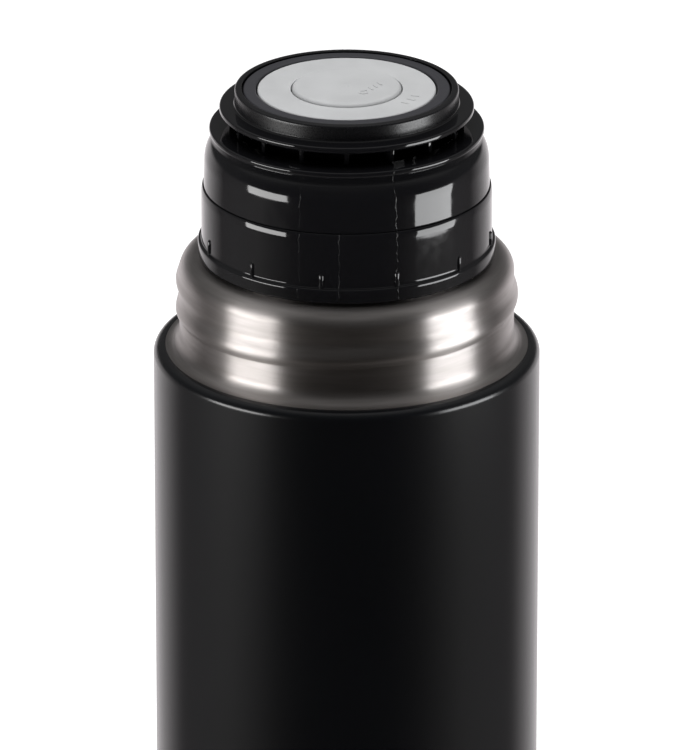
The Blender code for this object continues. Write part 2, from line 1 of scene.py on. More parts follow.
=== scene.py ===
from math import atan2, cos, degrees, hypot, pi, radians, sin, tan, tau

import bpy
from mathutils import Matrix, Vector


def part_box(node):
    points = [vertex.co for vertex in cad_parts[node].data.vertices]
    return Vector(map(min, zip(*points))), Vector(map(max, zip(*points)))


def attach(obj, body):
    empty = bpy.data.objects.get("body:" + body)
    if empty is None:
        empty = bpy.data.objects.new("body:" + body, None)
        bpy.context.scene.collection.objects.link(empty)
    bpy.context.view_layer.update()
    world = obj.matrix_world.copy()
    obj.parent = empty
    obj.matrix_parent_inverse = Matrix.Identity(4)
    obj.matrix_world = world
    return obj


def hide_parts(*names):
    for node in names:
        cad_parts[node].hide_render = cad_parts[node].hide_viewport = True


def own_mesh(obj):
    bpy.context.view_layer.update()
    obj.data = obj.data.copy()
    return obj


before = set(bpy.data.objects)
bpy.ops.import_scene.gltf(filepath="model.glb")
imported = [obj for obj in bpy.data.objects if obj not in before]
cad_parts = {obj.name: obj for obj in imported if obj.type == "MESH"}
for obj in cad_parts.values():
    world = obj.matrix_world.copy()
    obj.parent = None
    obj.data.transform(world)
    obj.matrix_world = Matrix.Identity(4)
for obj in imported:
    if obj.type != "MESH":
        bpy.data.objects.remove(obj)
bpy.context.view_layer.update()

mm = 0.001          # outlines below are in millimetres


# sizes of the frame's own nodes
def topOf(node):
    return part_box(node)[1].z / mm


def bottomOf(node):
    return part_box(node)[0].z / mm


def radiusOf(node):
    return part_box(node)[1].x / mm


def deselectAll():
    if bpy.context.object and bpy.context.object.mode != "OBJECT":
        bpy.ops.object.mode_set(mode="OBJECT")
    bpy.ops.object.select_all(action="DESELECT")


def applyPlace():
    bpy.ops.object.mode_set(mode="OBJECT")
    bpy.ops.object.transform_apply(location=True, rotation=True, scale=True)


def applyModifier(piece, kind, **settings):
    modifier = piece.modifiers.new(kind.title(), kind)
    for key, value in settings.items():
        setattr(modifier, key, value)
    bpy.ops.object.modifier_apply(modifier=modifier.name)


def arc(r0, z0, r1, z1, steps=8, leaves="level"):
    # quarter of an ellipse from one corner to the other, without its first point
    points = []
    for k in range(1, steps + 1):
        a = pi / 2 * k / steps
        if leaves == "level":
            points.append((r0 + (r1 - r0) * sin(a), z1 + (z0 - z1) * cos(a)))
        else:
            points.append((r1 + (r0 - r1) * cos(a), z0 + (z1 - z0) * sin(a)))
    return points


def heldFlat(path, hold):
    # extra points near the ends of each long run, so that its shading stays flat up to the corners
    points = [path[0]]
    for (ra, za), (rb, zb) in zip(path, path[1:]):
        length = hypot(rb - ra, zb - za)
        if length > 3 * hold:
            for t in (hold / length, 1 - hold / length):
                points.append((ra + (rb - ra) * t, za + (zb - za) * t))
        points.append((rb, zb))
    return points


turning = {
    "steps": 192,            # sides of a turned piece
    "hold": 0.12,            # flat kept beside a corner, besides a share of its bevel
    "holdPerBevel": 1.6,
    "bevelAngle": 28,        # sharper corners are bevelled
    "smoothAngle": 40,       # sharper corners stay crisp
    "weld": 1e-6,            # metres
}


def turnPiece(name, outline, bevel=0.0, steps=turning["steps"]):
    # one point, extruded along half the section, then spun round the axis
    deselectAll()
    r, z = outline[0]
    bpy.ops.mesh.primitive_plane_add(size=mm, location=(r * mm, 0, z * mm))
    piece = bpy.context.object
    piece.name = piece.data.name = name
    bpy.ops.object.mode_set(mode="EDIT")
    bpy.ops.mesh.select_all(action="SELECT")
    bpy.ops.mesh.merge(type="CENTER")
    closed = outline + ([outline[0]] if r > 0 else [])
    path = heldFlat(closed, turning["holdPerBevel"] * bevel + turning["hold"])
    for (ra, za), (rb, zb) in zip(path, path[1:]):
        step = ((rb - ra) * mm, 0, (zb - za) * mm)
        bpy.ops.mesh.extrude_region_move(TRANSFORM_OT_translate={"value": step})
    bpy.ops.mesh.select_all(action="SELECT")
    bpy.ops.mesh.remove_doubles(threshold=turning["weld"])
    bpy.ops.mesh.spin(steps=steps, angle=tau, center=(0, 0, 0), axis=(0, 0, 1))
    bpy.ops.mesh.select_all(action="SELECT")
    bpy.ops.mesh.remove_doubles(threshold=turning["weld"])
    bpy.ops.mesh.normals_make_consistent(inside=False)
    applyPlace()
    if bevel:
        applyModifier(piece, "BEVEL", width=bevel * mm, segments=3, limit_method="ANGLE",
                      angle_limit=radians(turning["bevelAngle"]), use_clamp_overlap=True)
    bpy.ops.object.shade_smooth_by_angle(angle=radians(turning["smoothAngle"]))
    return piece


def joinInto(piece, extras):
    deselectAll()
    for extra in extras:
        extra.select_set(True)
    piece.select_set(True)
    bpy.context.view_layer.objects.active = piece
    bpy.ops.object.join()
    return piece


def roundedBox(name, size, place, turn, bevel):
    # a small bar set out along +X, bevelled, then turned round the flask's axis
    deselectAll()
    bpy.ops.mesh.primitive_cube_add(size=1, location=(place[0] * mm, place[1] * mm, place[2] * mm))
    bar = bpy.context.object
    bar.name = bar.data.name = name
    bar.scale = [side * mm for side in size]
    bpy.ops.object.transform_apply(location=True, rotation=True, scale=True)
    applyModifier(bar, "BEVEL", width=bevel * mm, segments=3, limit_method="NONE")
    bar.rotation_euler.z = turn
    bpy.ops.object.transform_apply(location=True, rotation=True, scale=True)
    bpy.ops.object.shade_smooth_by_angle(angle=radians(turning["smoothAngle"]))
    return bar


def tubeOnPath(name, thick, resolution):
    # an empty round tube along a path, and the path
    curve = bpy.data.curves.new(name, "CURVE")
    curve.dimensions = "3D"
    curve.bevel_depth = thick * mm
    curve.bevel_resolution = resolution
    curve.use_fill_caps = True
    return curve, curve.splines.new("POLY")


def meshOfTube(name, curve):
    tube = bpy.data.objects.new(name, curve)
    bpy.context.scene.collection.objects.link(tube)
    deselectAll()
    tube.select_set(True)
    bpy.context.view_layer.objects.active = tube
    bpy.ops.object.convert(target="MESH")
    return bpy.context.object


seam = {
    "step": 0.35,            # length of one straight run
    "wander": 0.10,
    "waves": ((1.0, 2.1, 0), (0.6, 5.3, 1), (0.4, 11.0, 2)),   # size, radians per millimetre, start
    "swell": 0.45,           # how much the line thickens and thins
    "swellPitch": 3.7,
    "thinnest": 0.3,
}


def seamBead(outline, azimuth, thick):
    # the fine raised line that a mould's joint leaves: a thin tube laid on the section, half sunk
    curve, path = tubeOnPath("seam", thick, 2)
    points = []
    for (ra, za), (rb, zb) in zip(outline, outline[1:]):
        count = max(1, round(hypot(rb - ra, zb - za) / seam["step"]))
        points += [(ra + (rb - ra) * k / count, za + (zb - za) * k / count) for k in range(count)]
    points.append(outline[-1])
    path.points.add(len(points) - 1)
    for point, (r, z) in zip(path.points, points):
        waves = sum(size * sin(pitch * z + start) for size, pitch, start in seam["waves"])
        swell = 1.0 + seam["swell"] * sin(seam["swellPitch"] * z + azimuth)
        a = radians(azimuth - 90) + seam["wander"] * waves / r
        point.co = (r * cos(a) * mm, r * sin(a) * mm, z * mm, 1)
        point.radius = max(seam["thinnest"], swell)
    return meshOfTube("seam", curve)


def placePiece(piece, body, slot, material, *nodes):
    piece.data.materials.clear()
    piece.data.materials.append(material)
    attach(piece, body)
    if nodes:
        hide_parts(*nodes)


def hexColour(text):
    # sRGB hex to the linear values that the shader wants
    parts = [int(text[k:k + 2], 16) / 255 for k in (0, 2, 4)]
    return tuple(c / 12.92 if c <= 0.04045 else ((c + 0.055) / 1.055) ** 2.4 for c in parts) + (1.0,)


def newMaterial(name, baseColour, roughness, **sockets):
    material = bpy.data.materials.new(name)
    material.use_nodes = True
    shader = material.node_tree.nodes["Principled BSDF"]
    shader.inputs["Base Color"].default_value = hexColour(baseColour)
    shader.inputs["Roughness"].default_value = roughness
    for socket, value in sockets.items():
        shader.inputs[socket.replace("_", " ")].default_value = value
    return material, material.node_tree, shader


def addNode(tree, kind, links=None, stops=None, **settings):
    # settings are the node's own, or the values of its inputs; links are input: (node, output)
    made = tree.nodes.new(kind)
    for key, value in settings.items():
        if hasattr(made, key):
            setattr(made, key, value)
        else:
            made.inputs[key.replace("_", " ")].default_value = value
    for key, (source, output) in (links or {}).items():
        tree.links.new(source.outputs[output], made.inputs[key])
    if stops:                # a colour ramp's places and colours
        elements = made.color_ramp.elements
        elements[0].position, elements[0].color = stops[0]
        elements[1].position, elements[1].color = stops[-1]
        for place, colour in stops[1:-1]:
            elements.new(place).color = colour
    return made


def linkTo(tree, source, output, target, socket):
    tree.links.new(source.outputs[output], target.inputs[socket])


def grey(value):
    return (value, value, value, 1.0)


def greys(low, dark, high, light):
    return [(low, grey(dark)), (high, grey(light))]


def tints(dark, light):
    return [(0.3, hexColour(dark)), (0.7, hexColour(light))]


def ringCoords(tree):
    # (distance from the axis, angle, height): what a lathe tool or a brush follows
    where = addNode(tree, "ShaderNodeTexCoord")
    split = addNode(tree, "ShaderNodeSeparateXYZ", {"Vector": (where, "Object")})
    xx = addNode(tree, "ShaderNodeMath", {0: (split, "X"), 1: (split, "X")}, operation="MULTIPLY")
    yy = addNode(tree, "ShaderNodeMath", {0: (split, "Y"), 1: (split, "Y")}, operation="MULTIPLY")
    squares = addNode(tree, "ShaderNodeMath", {0: (xx, 0), 1: (yy, 0)}, operation="ADD")
    radius = addNode(tree, "ShaderNodeMath", {0: (squares, 0)}, operation="SQRT")
    angle = addNode(tree, "ShaderNodeMath", {0: (split, "Y"), 1: (split, "X")}, operation="ARCTAN2")
    return addNode(tree, "ShaderNodeCombineXYZ", {"X": (radius, 0), "Y": (angle, 0), "Z": (split, "Z")})


def makePowderCoat():
    # powder coated steel: baked polymer, satin black, with the faint orange peel of the melted powder
    look = {"peel": 0.9, "grain": 0.12, "clouds": 28.0}   # mm, and clouds in a metre
    material, tree, shader = newMaterial("powder_coated_steel", "060709", 0.28)
    where = addNode(tree, "ShaderNodeTexCoord")
    peel = addNode(tree, "ShaderNodeTexNoise", {"Vector": (where, "Object")},
                   Scale=1 / (look["peel"] * mm), Detail=3.0)
    grain = addNode(tree, "ShaderNodeTexNoise", {"Vector": (where, "Object")},
                    Scale=1 / (look["grain"] * mm), Detail=2.0)
    cloud = addNode(tree, "ShaderNodeTexNoise", {"Vector": (where, "Object")},
                    Scale=look["clouds"], Detail=3.0)
    rough = addNode(tree, "ShaderNodeValToRGB", {"Fac": (grain, "Fac")}, stops=greys(0.3, 0.20, 0.7, 0.26))
    linkTo(tree, rough, "Color", shader, "Roughness")
    tint = addNode(tree, "ShaderNodeValToRGB", {"Fac": (cloud, "Fac")}, stops=tints("050608", "07080b"))
    linkTo(tree, tint, "Color", shader, "Base Color")
    coarse = addNode(tree, "ShaderNodeBump", {"Height": (peel, "Fac")}, Strength=0.05, Distance=0.02 * mm)
    fine = addNode(tree, "ShaderNodeBump", {"Height": (grain, "Fac"), "Normal": (coarse, "Normal")},
                   Strength=0.10, Distance=0.01 * mm)
    linkTo(tree, fine, "Normal", shader, "Normal")
    return material


def makeBrushedSteel():
    # 18/8 stainless steel, brushed while it turned: fine rings, so highlights stretch along the axis
    look = {"line": 0.10, "band": 1.1}    # mm
    material, tree, shader = newMaterial("brushed_stainless_steel", "b6b1ae", 0.38, Metallic=1.0,
                                         Anisotropic=0.9, Anisotropic_Rotation=0.25)
    coords = ringCoords(tree)
    lines = addNode(tree, "ShaderNodeMapping", {"Vector": (coords, 0)},
                    Scale=(1 / (look["line"] * mm), 7.0, 1 / (look["line"] * mm)))
    bands = addNode(tree, "ShaderNodeMapping", {"Vector": (coords, 0)},
                    Scale=(1 / (look["band"] * mm), 2.5, 1 / (look["band"] * mm)))
    brush = addNode(tree, "ShaderNodeTexNoise", {"Vector": (lines, 0)}, Scale=1.0, Detail=4.0, Roughness=0.65)
    drift = addNode(tree, "ShaderNodeTexNoise", {"Vector": (bands, 0)}, Scale=1.0, Detail=3.0)
    rough = addNode(tree, "ShaderNodeValToRGB", {"Fac": (brush, "Fac")}, stops=greys(0.25, 0.33, 0.75, 0.43))
    linkTo(tree, rough, "Color", shader, "Roughness")
    tint = addNode(tree, "ShaderNodeValToRGB", {"Fac": (drift, "Fac")}, stops=tints("ada8a5", "bfbab8"))
    linkTo(tree, tint, "Color", shader, "Base Color")
    bump = addNode(tree, "ShaderNodeBump", {"Height": (brush, "Fac")}, Strength=0.20, Distance=0.010 * mm)
    linkTo(tree, bump, "Normal", shader, "Normal")
    around = addNode(tree, "ShaderNodeTangent", direction_type="RADIAL", axis="Z")
    linkTo(tree, around, "Tangent", shader, "Tangent")
    return material


def makeGlossBlack():
    # polypropylene, moulded in a polished steel tool: mirror gloss with slow sink waves from the cooling
    look = {"sink": 7.0, "flow": 2.2}     # mm
    material, tree, shader = newMaterial("moulded_gloss_polypropylene", "0f0f11", 0.07)
    where = addNode(tree, "ShaderNodeTexCoord")
    sink = addNode(tree, "ShaderNodeTexNoise", {"Vector": (where, "Object")},
                   Scale=1 / (look["sink"] * mm), Detail=1.0)
    flow = addNode(tree, "ShaderNodeTexNoise", {"Vector": (where, "Object")},
                   Scale=1 / (look["flow"] * mm), Detail=2.0)
    slow = addNode(tree, "ShaderNodeBump", {"Height": (sink, "Fac")}, Strength=0.30, Distance=0.12 * mm)
    quick = addNode(tree, "ShaderNodeBump", {"Height": (flow, "Fac"), "Normal": (slow, "Normal")},
                    Strength=0.12, Distance=0.03 * mm)
    linkTo(tree, quick, "Normal", shader, "Normal")
    rough = addNode(tree, "ShaderNodeValToRGB", {"Fac": (flow, "Fac")}, stops=greys(0.3, 0.05, 0.75, 0.10))
    linkTo(tree, rough, "Color", shader, "Roughness")
    return material


def makeSatinBlack():
    # the same plastic from a fine spark-eroded tool: an even satin
    look = {"grain": 0.25}                # mm
    material, tree, shader = newMaterial("moulded_satin_polypropylene", "101012", 0.3)
    where = addNode(tree, "ShaderNodeTexCoord")
    grain = addNode(tree, "ShaderNodeTexNoise", {"Vector": (where, "Object")},
                    Scale=1 / (look["grain"] * mm), Detail=3.0)
    rough = addNode(tree, "ShaderNodeValToRGB", {"Fac": (grain, "Fac")}, stops=greys(0.3, 0.24, 0.7, 0.34))
    linkTo(tree, rough, "Color", shader, "Roughness")
    bump = addNode(tree, "ShaderNodeBump", {"Height": (grain, "Fac")}, Strength=0.08, Distance=0.01 * mm)
    linkTo(tree, bump, "Normal", shader, "Normal")
    return material


def makeGreyPlastic():
    # light grey polypropylene: slightly waxy, with a soft spark-eroded grain and cloudy cooling marks
    look = {"grain": 0.35, "cloud": 6.0}  # mm
    material, tree, shader = newMaterial("moulded_grey_polypropylene", "c2c3c4", 0.42)
    shader.inputs["Subsurface Weight"].default_value = 0.08
    shader.inputs["Subsurface Radius"].default_value = (1.0, 1.0, 1.0)
    shader.inputs["Subsurface Scale"].default_value = 0.6 * mm
    where = addNode(tree, "ShaderNodeTexCoord")
    grain = addNode(tree, "ShaderNodeTexNoise", {"Vector": (where, "Object")},
                    Scale=1 / (look["grain"] * mm), Detail=3.0)
    cloud = addNode(tree, "ShaderNodeTexNoise", {"Vector": (where, "Object")},
                    Scale=1 / (look["cloud"] * mm), Detail=3.0)
    tint = addNode(tree, "ShaderNodeValToRGB", {"Fac": (cloud, "Fac")}, stops=tints("bfc0c1", "c6c7c8"))
    linkTo(tree, tint, "Color", shader, "Base Color")
    rough = addNode(tree, "ShaderNodeValToRGB", {"Fac": (cloud, "Fac")}, stops=greys(0.3, 0.38, 0.7, 0.48))
    linkTo(tree, rough, "Color", shader, "Roughness")
    bump = addNode(tree, "ShaderNodeBump", {"Height": (grain, "Fac")}, Strength=0.10, Distance=0.02 * mm)
    linkTo(tree, bump, "Normal", shader, "Normal")
    return material


def makePlain(name, colours, roughs, grainSize, depth, **sockets):
    # shared recipe for the bezel and the pieces inside: two tones and two roughnesses over one grain
    material, tree, shader = newMaterial(name, colours[0], roughs[0], **sockets)
    where = addNode(tree, "ShaderNodeTexCoord")
    grain = addNode(tree, "ShaderNodeTexNoise", {"Vector": (where, "Object")},
                    Scale=1 / (grainSize * mm), Detail=3.0)
    tint = addNode(tree, "ShaderNodeValToRGB", {"Fac": (grain, "Fac")}, stops=tints(colours[0], colours[1]))
    linkTo(tree, tint, "Color", shader, "Base Color")
    rough = addNode(tree, "ShaderNodeValToRGB", {"Fac": (grain, "Fac")},
                    stops=greys(0.3, roughs[0], 0.7, roughs[1]))
    linkTo(tree, rough, "Color", shader, "Roughness")
    bump = addNode(tree, "ShaderNodeBump", {"Height": (grain, "Fac")}, Strength=0.3, Distance=depth * mm)
    linkTo(tree, bump, "Normal", shader, "Normal")
    return material


powderCoat = makePowderCoat()
brushedSteel = makeBrushedSteel()
glossBlack = makeGlossBlack()
satinBlack = makeSatinBlack()
# sealing ring in a softer black plastic, moulded in a blasted tool: dull; its greyer black base colour is
# painted sheen, standing in for the reflections on its top
paintedSheenBlack = makePlain("blasted_elastomer_painted_sheen", ("333337", "3b3b3f"), (0.30, 0.42), 0.3, 0.01)
greyPlastic = makeGreyPlastic()
# electropolished: bright, with soft wide reflections
polishedSteel = makePlain("electropolished_steel", ("aeacaa", "bab8b6"), (0.16, 0.24), 0.8, 0.004,
                          Metallic=1.0)
# rolled foil: very bright and crinkled
foil = makePlain("aluminium_foil", ("d6d7d9", "e2e3e4"), (0.16, 0.30), 3.0, 0.15, Metallic=1.0)
# acetal is a milky, slightly greasy white; silicone is dull and translucent-looking
whitePlastic = makePlain("acetal", ("dcdbd6", "e4e3de"), (0.35, 0.45), 0.5, 0.01)
silicone = makePlain("silicone_rubber", ("c9cbc9", "d2d4d2"), (0.5, 0.62), 0.4, 0.01)
# foamed in place: pale yellow, rough and quite without gloss
foam = makePlain("polyurethane_foam", ("d8cda6", "e3dab8"), (0.85, 0.95), 0.8, 0.2)
# a fused bead of glass: dark grey-green and glossy
solderGlass = makePlain("solder_glass", ("3c423e", "4a514c"), (0.12, 0.2), 0.6, 0.01)
# sintered powder: grainy dark metal; drawn wire: even and bright
getterMetal = makePlain("sintered_getter_alloy", ("5a5a5d", "6c6c70"), (0.5, 0.65), 0.15, 0.03, Metallic=1.0)
springWire = makePlain("drawn_stainless_wire", ("aeb0b2", "bcbec0"), (0.2, 0.3), 0.3, 0.005, Metallic=1.0)
print("materials made")


# painted casing
casing = {
    "edgeRadius": 32.9,      # where the paint stops at the bare neck
    "edgeRound": (0.1, 0.04),
    "ledge": 33.3,           # the level ledge ends here and the corner starts
    "cornerDrop": 1.7,
    "wall": 0.6,
    "hem": 0.2,
    "bevel": 0.04,
}


def makeCasing():
    r, top, low = radiusOf("body_casing"), topOf("body_casing"), bottomOf("body_casing")
    edge, ledge, wall, hem = casing["edgeRadius"], casing["ledge"], casing["wall"], casing["hem"]
    across, down = casing["edgeRound"]
    side = top - casing["cornerDrop"]
    outline = [(edge, top - down), (edge + across, top), (ledge, top), *arc(ledge, top, r, side, 16)]
    outline += [(r, low + hem), (r - hem, low), (r - wall, low), (r - wall, side)]
    outline += [*arc(r - wall, side, ledge, top - wall, 6, "upright"), (edge, top - wall)]
    piece = turnPiece("paintedCasing", outline, bevel=casing["bevel"])
    placePiece(piece, "flask", "matt_black_paint", powderCoat, "body_casing")


makeCasing()
print("casing done")


# bare neck with the cup's thread
neck = {
    "radius": 30.3,
    "wall": 0.6,
    "steps": 288,            # finer than the other pieces, for the thread
    "smoothAngle": 50,
    "upstand": 24.6,         # outer side of the mouth's lip
    "upstandWall": 0.5,
    "upstandFoot": 0.2,      # its foot, above the dome's top
    "domeEdge": -4.6,        # heights from the mouth's rim down
    "domeTop": -1.7,
    "domeRadius": 27.0,
    "flareTop": 2.5,         # above the paint's edge
    "flareFoot": 0.6,        # the paint's edge, above the node's own bottom
    "flareGap": 0.02,        # between the flare and the paint
    "hem": 0.5,              # how far the flare runs down inside the paint's edge
    "innerFlare": 0.9,
    "innerDome": (0.8, 1.6),
    "pitch": 4.8,
    "threadHeight": 0.72,
    "threadSkin": 0.1,       # points this near the outer side carry the thread
    "frontCrest": -10.4,     # crest at the front on its first turn, from the mouth's rim down
    "turns": (-120, 300),    # start and end, degrees from the front
    "runOut": 40,            # degrees over which each end fades
    "flanks": (3.2, 1.6),    # heights of the flanks above and below the crest
    "rowStep": 0.22,
}


def cupThread(angle, z, crestZ):
    first, last = neck["turns"]
    upper, lower = neck["flanks"]
    height = 0.0
    for turn in (-1, 0, 1):
        along = angle + 360 * turn
        rise = min(1.0, max(0.0, (along - first) / neck["runOut"]))
        fall = min(1.0, max(0.0, (last - along) / neck["runOut"]))
        ends = sin(pi / 2 * min(rise, fall)) ** 2
        above = z - crestZ - neck["pitch"] * along / 360
        if 0 <= above < upper:
            height = max(height, ends * (0.5 + 0.5 * cos(pi * above / upper)))
        elif -lower < above < 0:
            height = max(height, ends * (1 - (above / lower) ** 2))
    return height * neck["threadHeight"]


def makeNeck():
    top, low = topOf("neck_ring"), bottomOf("neck_ring") + neck["flareFoot"]
    edge = casing["edgeRadius"] - neck["flareGap"]
    r, wall, upstand, domeRadius = neck["radius"], neck["wall"], neck["upstand"], neck["domeRadius"]
    domeEdge, domeTop, flareTop = top + neck["domeEdge"], top + neck["domeTop"], low + neck["flareTop"]
    outline = [(upstand, top), (upstand, domeTop + neck["upstandFoot"]), (domeRadius, domeTop)]
    outline += arc(domeRadius, domeTop, r, domeEdge, 16)
    count = round((domeEdge - flareTop) / neck["rowStep"])
    outline += [(r, domeEdge + (flareTop - domeEdge) * k / count) for k in range(1, count + 1)]
    outline += arc(r, flareTop, edge, low, 14, "upright")
    inner = r - wall
    across, up = neck["innerDome"]
    outline += [(edge, low - neck["hem"]), (inner, flareTop - neck["innerFlare"]), (inner, domeEdge)]
    outline += [(inner - across, domeEdge + up), (domeRadius, domeTop - wall)]
    lipInside = upstand - neck["upstandWall"]
    outline += [(lipInside, domeTop - wall), (lipInside, top)]
    piece = turnPiece("steelNeck", outline, steps=neck["steps"])
    crestZ = top + neck["frontCrest"]
    for point in piece.data.vertices:      # roll the thread into the wall
        x, y, z = point.co / mm
        radius = hypot(x, y)
        if radius > r - neck["threadSkin"]:
            grown = radius + cupThread(degrees(atan2(y, x)) + 90, z, crestZ)
            point.co.x, point.co.y = x * grown / radius * mm, y * grown / radius * mm
    bpy.ops.object.shade_smooth_by_angle(angle=radians(neck["smoothAngle"]))
    placePiece(piece, "flask", "brushed_steel", brushedSteel, "neck_ring")


makeNeck()
print("neck done")


# stopper: lower sleeve with its lip and ribs
skirt = {
    "radius": 26.2,
    "lip": 26.9,
    "lipTop": 2.35,          # heights from the sleeve's lower end
    "lipCorner": 0.3,
    "footTop": (0.06, 3.1),  # out from the radius, and up
    "footMiddle": (0.36, 2.75),
    "seamEdge": ((-0.16, 0.0), (-0.02, -0.7), (0.04, -1.2), (0.05, -2.2)),   # out from the radius, and down
    "bore": 25.0,
    "floor": 10.3,           # underside of the inner floor, from the lower end
    "floorHole": 19.3,
    "step": (24.1, 0.7),     # radius and depth of the step that takes the upper sleeve
    "bevel": 0.12,
    "ribCount": 12,
    "ribTurn": -70,          # the first rib, degrees from the right side
    "ribSize": (1.0, 0.9, 3.4),
    "ribSink": 0.1,
    "ribMiddle": 3.8,        # from the lower end
    "ribBevel": 0.42,
    "seams": ((20, 0.07), (-19, 0.035), (-3, 0.03), (200, 0.07)),   # degrees from the front, and thickness
}


def skirtWall(top, low):
    # outer side from the seam down to the lip's foot
    r, lip, lipTop, corner = skirt["radius"], skirt["lip"], skirt["lipTop"], skirt["lipCorner"]
    outA, upA = skirt["footTop"]
    outB, upB = skirt["footMiddle"]
    wall = [(r + out, top + down) for out, down in skirt["seamEdge"]]
    wall += [(r + outA, low + upA), *arc(r + outA, low + upA, r + outB, low + upB, 5, "upright")]
    wall += [*arc(r + outB, low + upB, lip, low + lipTop, 4), (lip, low + corner), (lip - corner, low)]
    return wall


def makeSkirt():
    top, low = topOf("stopper_skirt"), bottomOf("stopper_skirt")
    bore, floor, hole = skirt["bore"], low + skirt["floor"], skirt["floorHole"]
    stepRadius, stepDepth = skirt["step"]
    wall = skirtWall(top, low)
    outline = wall + [(bore, low), (bore, floor), (hole, floor), (hole, top - stepDepth)]
    outline += [(stepRadius, top - stepDepth), (stepRadius, top)]
    piece = turnPiece("lowerSleeve", outline, bevel=skirt["bevel"])
    extras = []
    for k in range(skirt["ribCount"]):
        turn = radians(skirt["ribTurn"] + 360 / skirt["ribCount"] * k)
        place = (skirt["radius"] - skirt["ribSink"], 0, low + skirt["ribMiddle"])
        extras.append(roundedBox("rib", skirt["ribSize"], place, turn, skirt["ribBevel"]))
    extras += [seamBead(wall, azimuth, thick) for azimuth, thick in skirt["seams"]]
    joinInto(piece, extras)
    placePiece(piece, "stopper", "gloss_black_plastic", glossBlack, "stopper_skirt")


makeSkirt()
print("lower sleeve done")


# stopper: upper sleeve with the lower pouring flange
collar = {
    "flange": 24.75,
    "flangeThick": 1.2,
    "flangeRound": 0.35,
    "flangeSide": 0.6,       # the flange's side ends here and its underside curves in
    "undercut": 0.7,
    "throat": 20.3,
    "throatWall": 1.6,
    "fillet": (23.75, 0.15),       # radius, and depth below the flange
    "shoulder": (22.95, 0.75),     # where the shoulder's curve would start
    "shoulderDrop": 5.0,
    "shoulderIn": (0.12, 0.25),
    "foot": ((-0.02, 1.2), (0.02, -0.12), (-0.1, -0.24)),   # out from the radius, and up: closes the seam
    "inside": ((-1.4, -0.24), (-1.5, -6.7)),                # below the foot, and below the top
    "insideNeck": (22.6, 3.0),
    "bevel": 0.08,
    "seams": ((20, 0.07), (-19, 0.03), (200, 0.07)),        # degrees from the front, and thickness
}


def collarWall(top, low, r):
    flange, rounding, side = collar["flange"], collar["flangeRound"], top - collar["flangeSide"]
    under = top - collar["flangeThick"]
    filletRadius, filletDown = collar["fillet"]
    startRadius, startDown = collar["shoulder"]
    endIn, endDown = collar["shoulderIn"]
    wall = [(flange - rounding, top), *arc(flange - rounding, top, flange, top - rounding, 4), (flange, side)]
    wall += [*arc(flange, side, flange - collar["undercut"], under, 4, "upright")]
    wall += [(filletRadius, under - filletDown)]
    shoulderEnd = under - endDown - collar["shoulderDrop"]
    wall += arc(startRadius, under - startDown, r - endIn, shoulderEnd, 14)[3:]
    return wall + [(r + out, low + up) for out, up in collar["foot"]]


def makeCollar():
    top, low, r = topOf("pour_collar"), bottomOf("pour_collar"), radiusOf("pour_collar")
    (outA, upA), (outB, upB) = collar["inside"]
    neckRadius, neckDown = collar["insideNeck"]
    wall = collarWall(top, low, r)
    outline = [(collar["throat"], top), *wall, (r + outA, low + upA), (r + outB, top + upB)]
    outline += [(neckRadius, top - neckDown), (collar["throat"], top - collar["throatWall"])]
    piece = turnPiece("upperSleeve", outline, bevel=collar["bevel"])
    joinInto(piece, [seamBead(wall, azimuth, thick) for azimuth, thick in collar["seams"]])
    placePiece(piece, "stopper", "gloss_black_plastic", glossBlack, "pour_collar")


makeCollar()
print("upper sleeve done")


# stopper: cap with upper flange, rim and vanes
cap = {
    "rim": 20.15,
    "rimRound": 0.45,
    "rimFoot": ((0.0, 0.3), (0.25, 0.03)),     # out from the rim, and up from the flange
    "flange": 22.9,
    "flangeTop": 3.1,        # from the rim's top down
    "flangeThick": 1.2,
    "flangeFall": 0.05,      # the flange slopes down by this much
    "flangeRound": 0.35,
    "flangeChamfer": 0.3,
    "spigot": 17.2,
    "spigotBore": 15.2,
    "stemHole": 3.0,
    "floor": 1.2,
    "pocket": 18.9,
    "pocketDepth": 2.4,
    "bevel": 0.1,
    "vanes": 16,
    "vaneSize": (3.0, 0.8),
    "vaneRadius": 19.6,
    "vaneLift": 0.3,         # from the lower flange
    "vaneSink": 0.4,         # into the upper flange
    "vaneBevel": 0.05,
    "bandFoot": 0.2,         # the rim's satin band starts this far above the flange
}


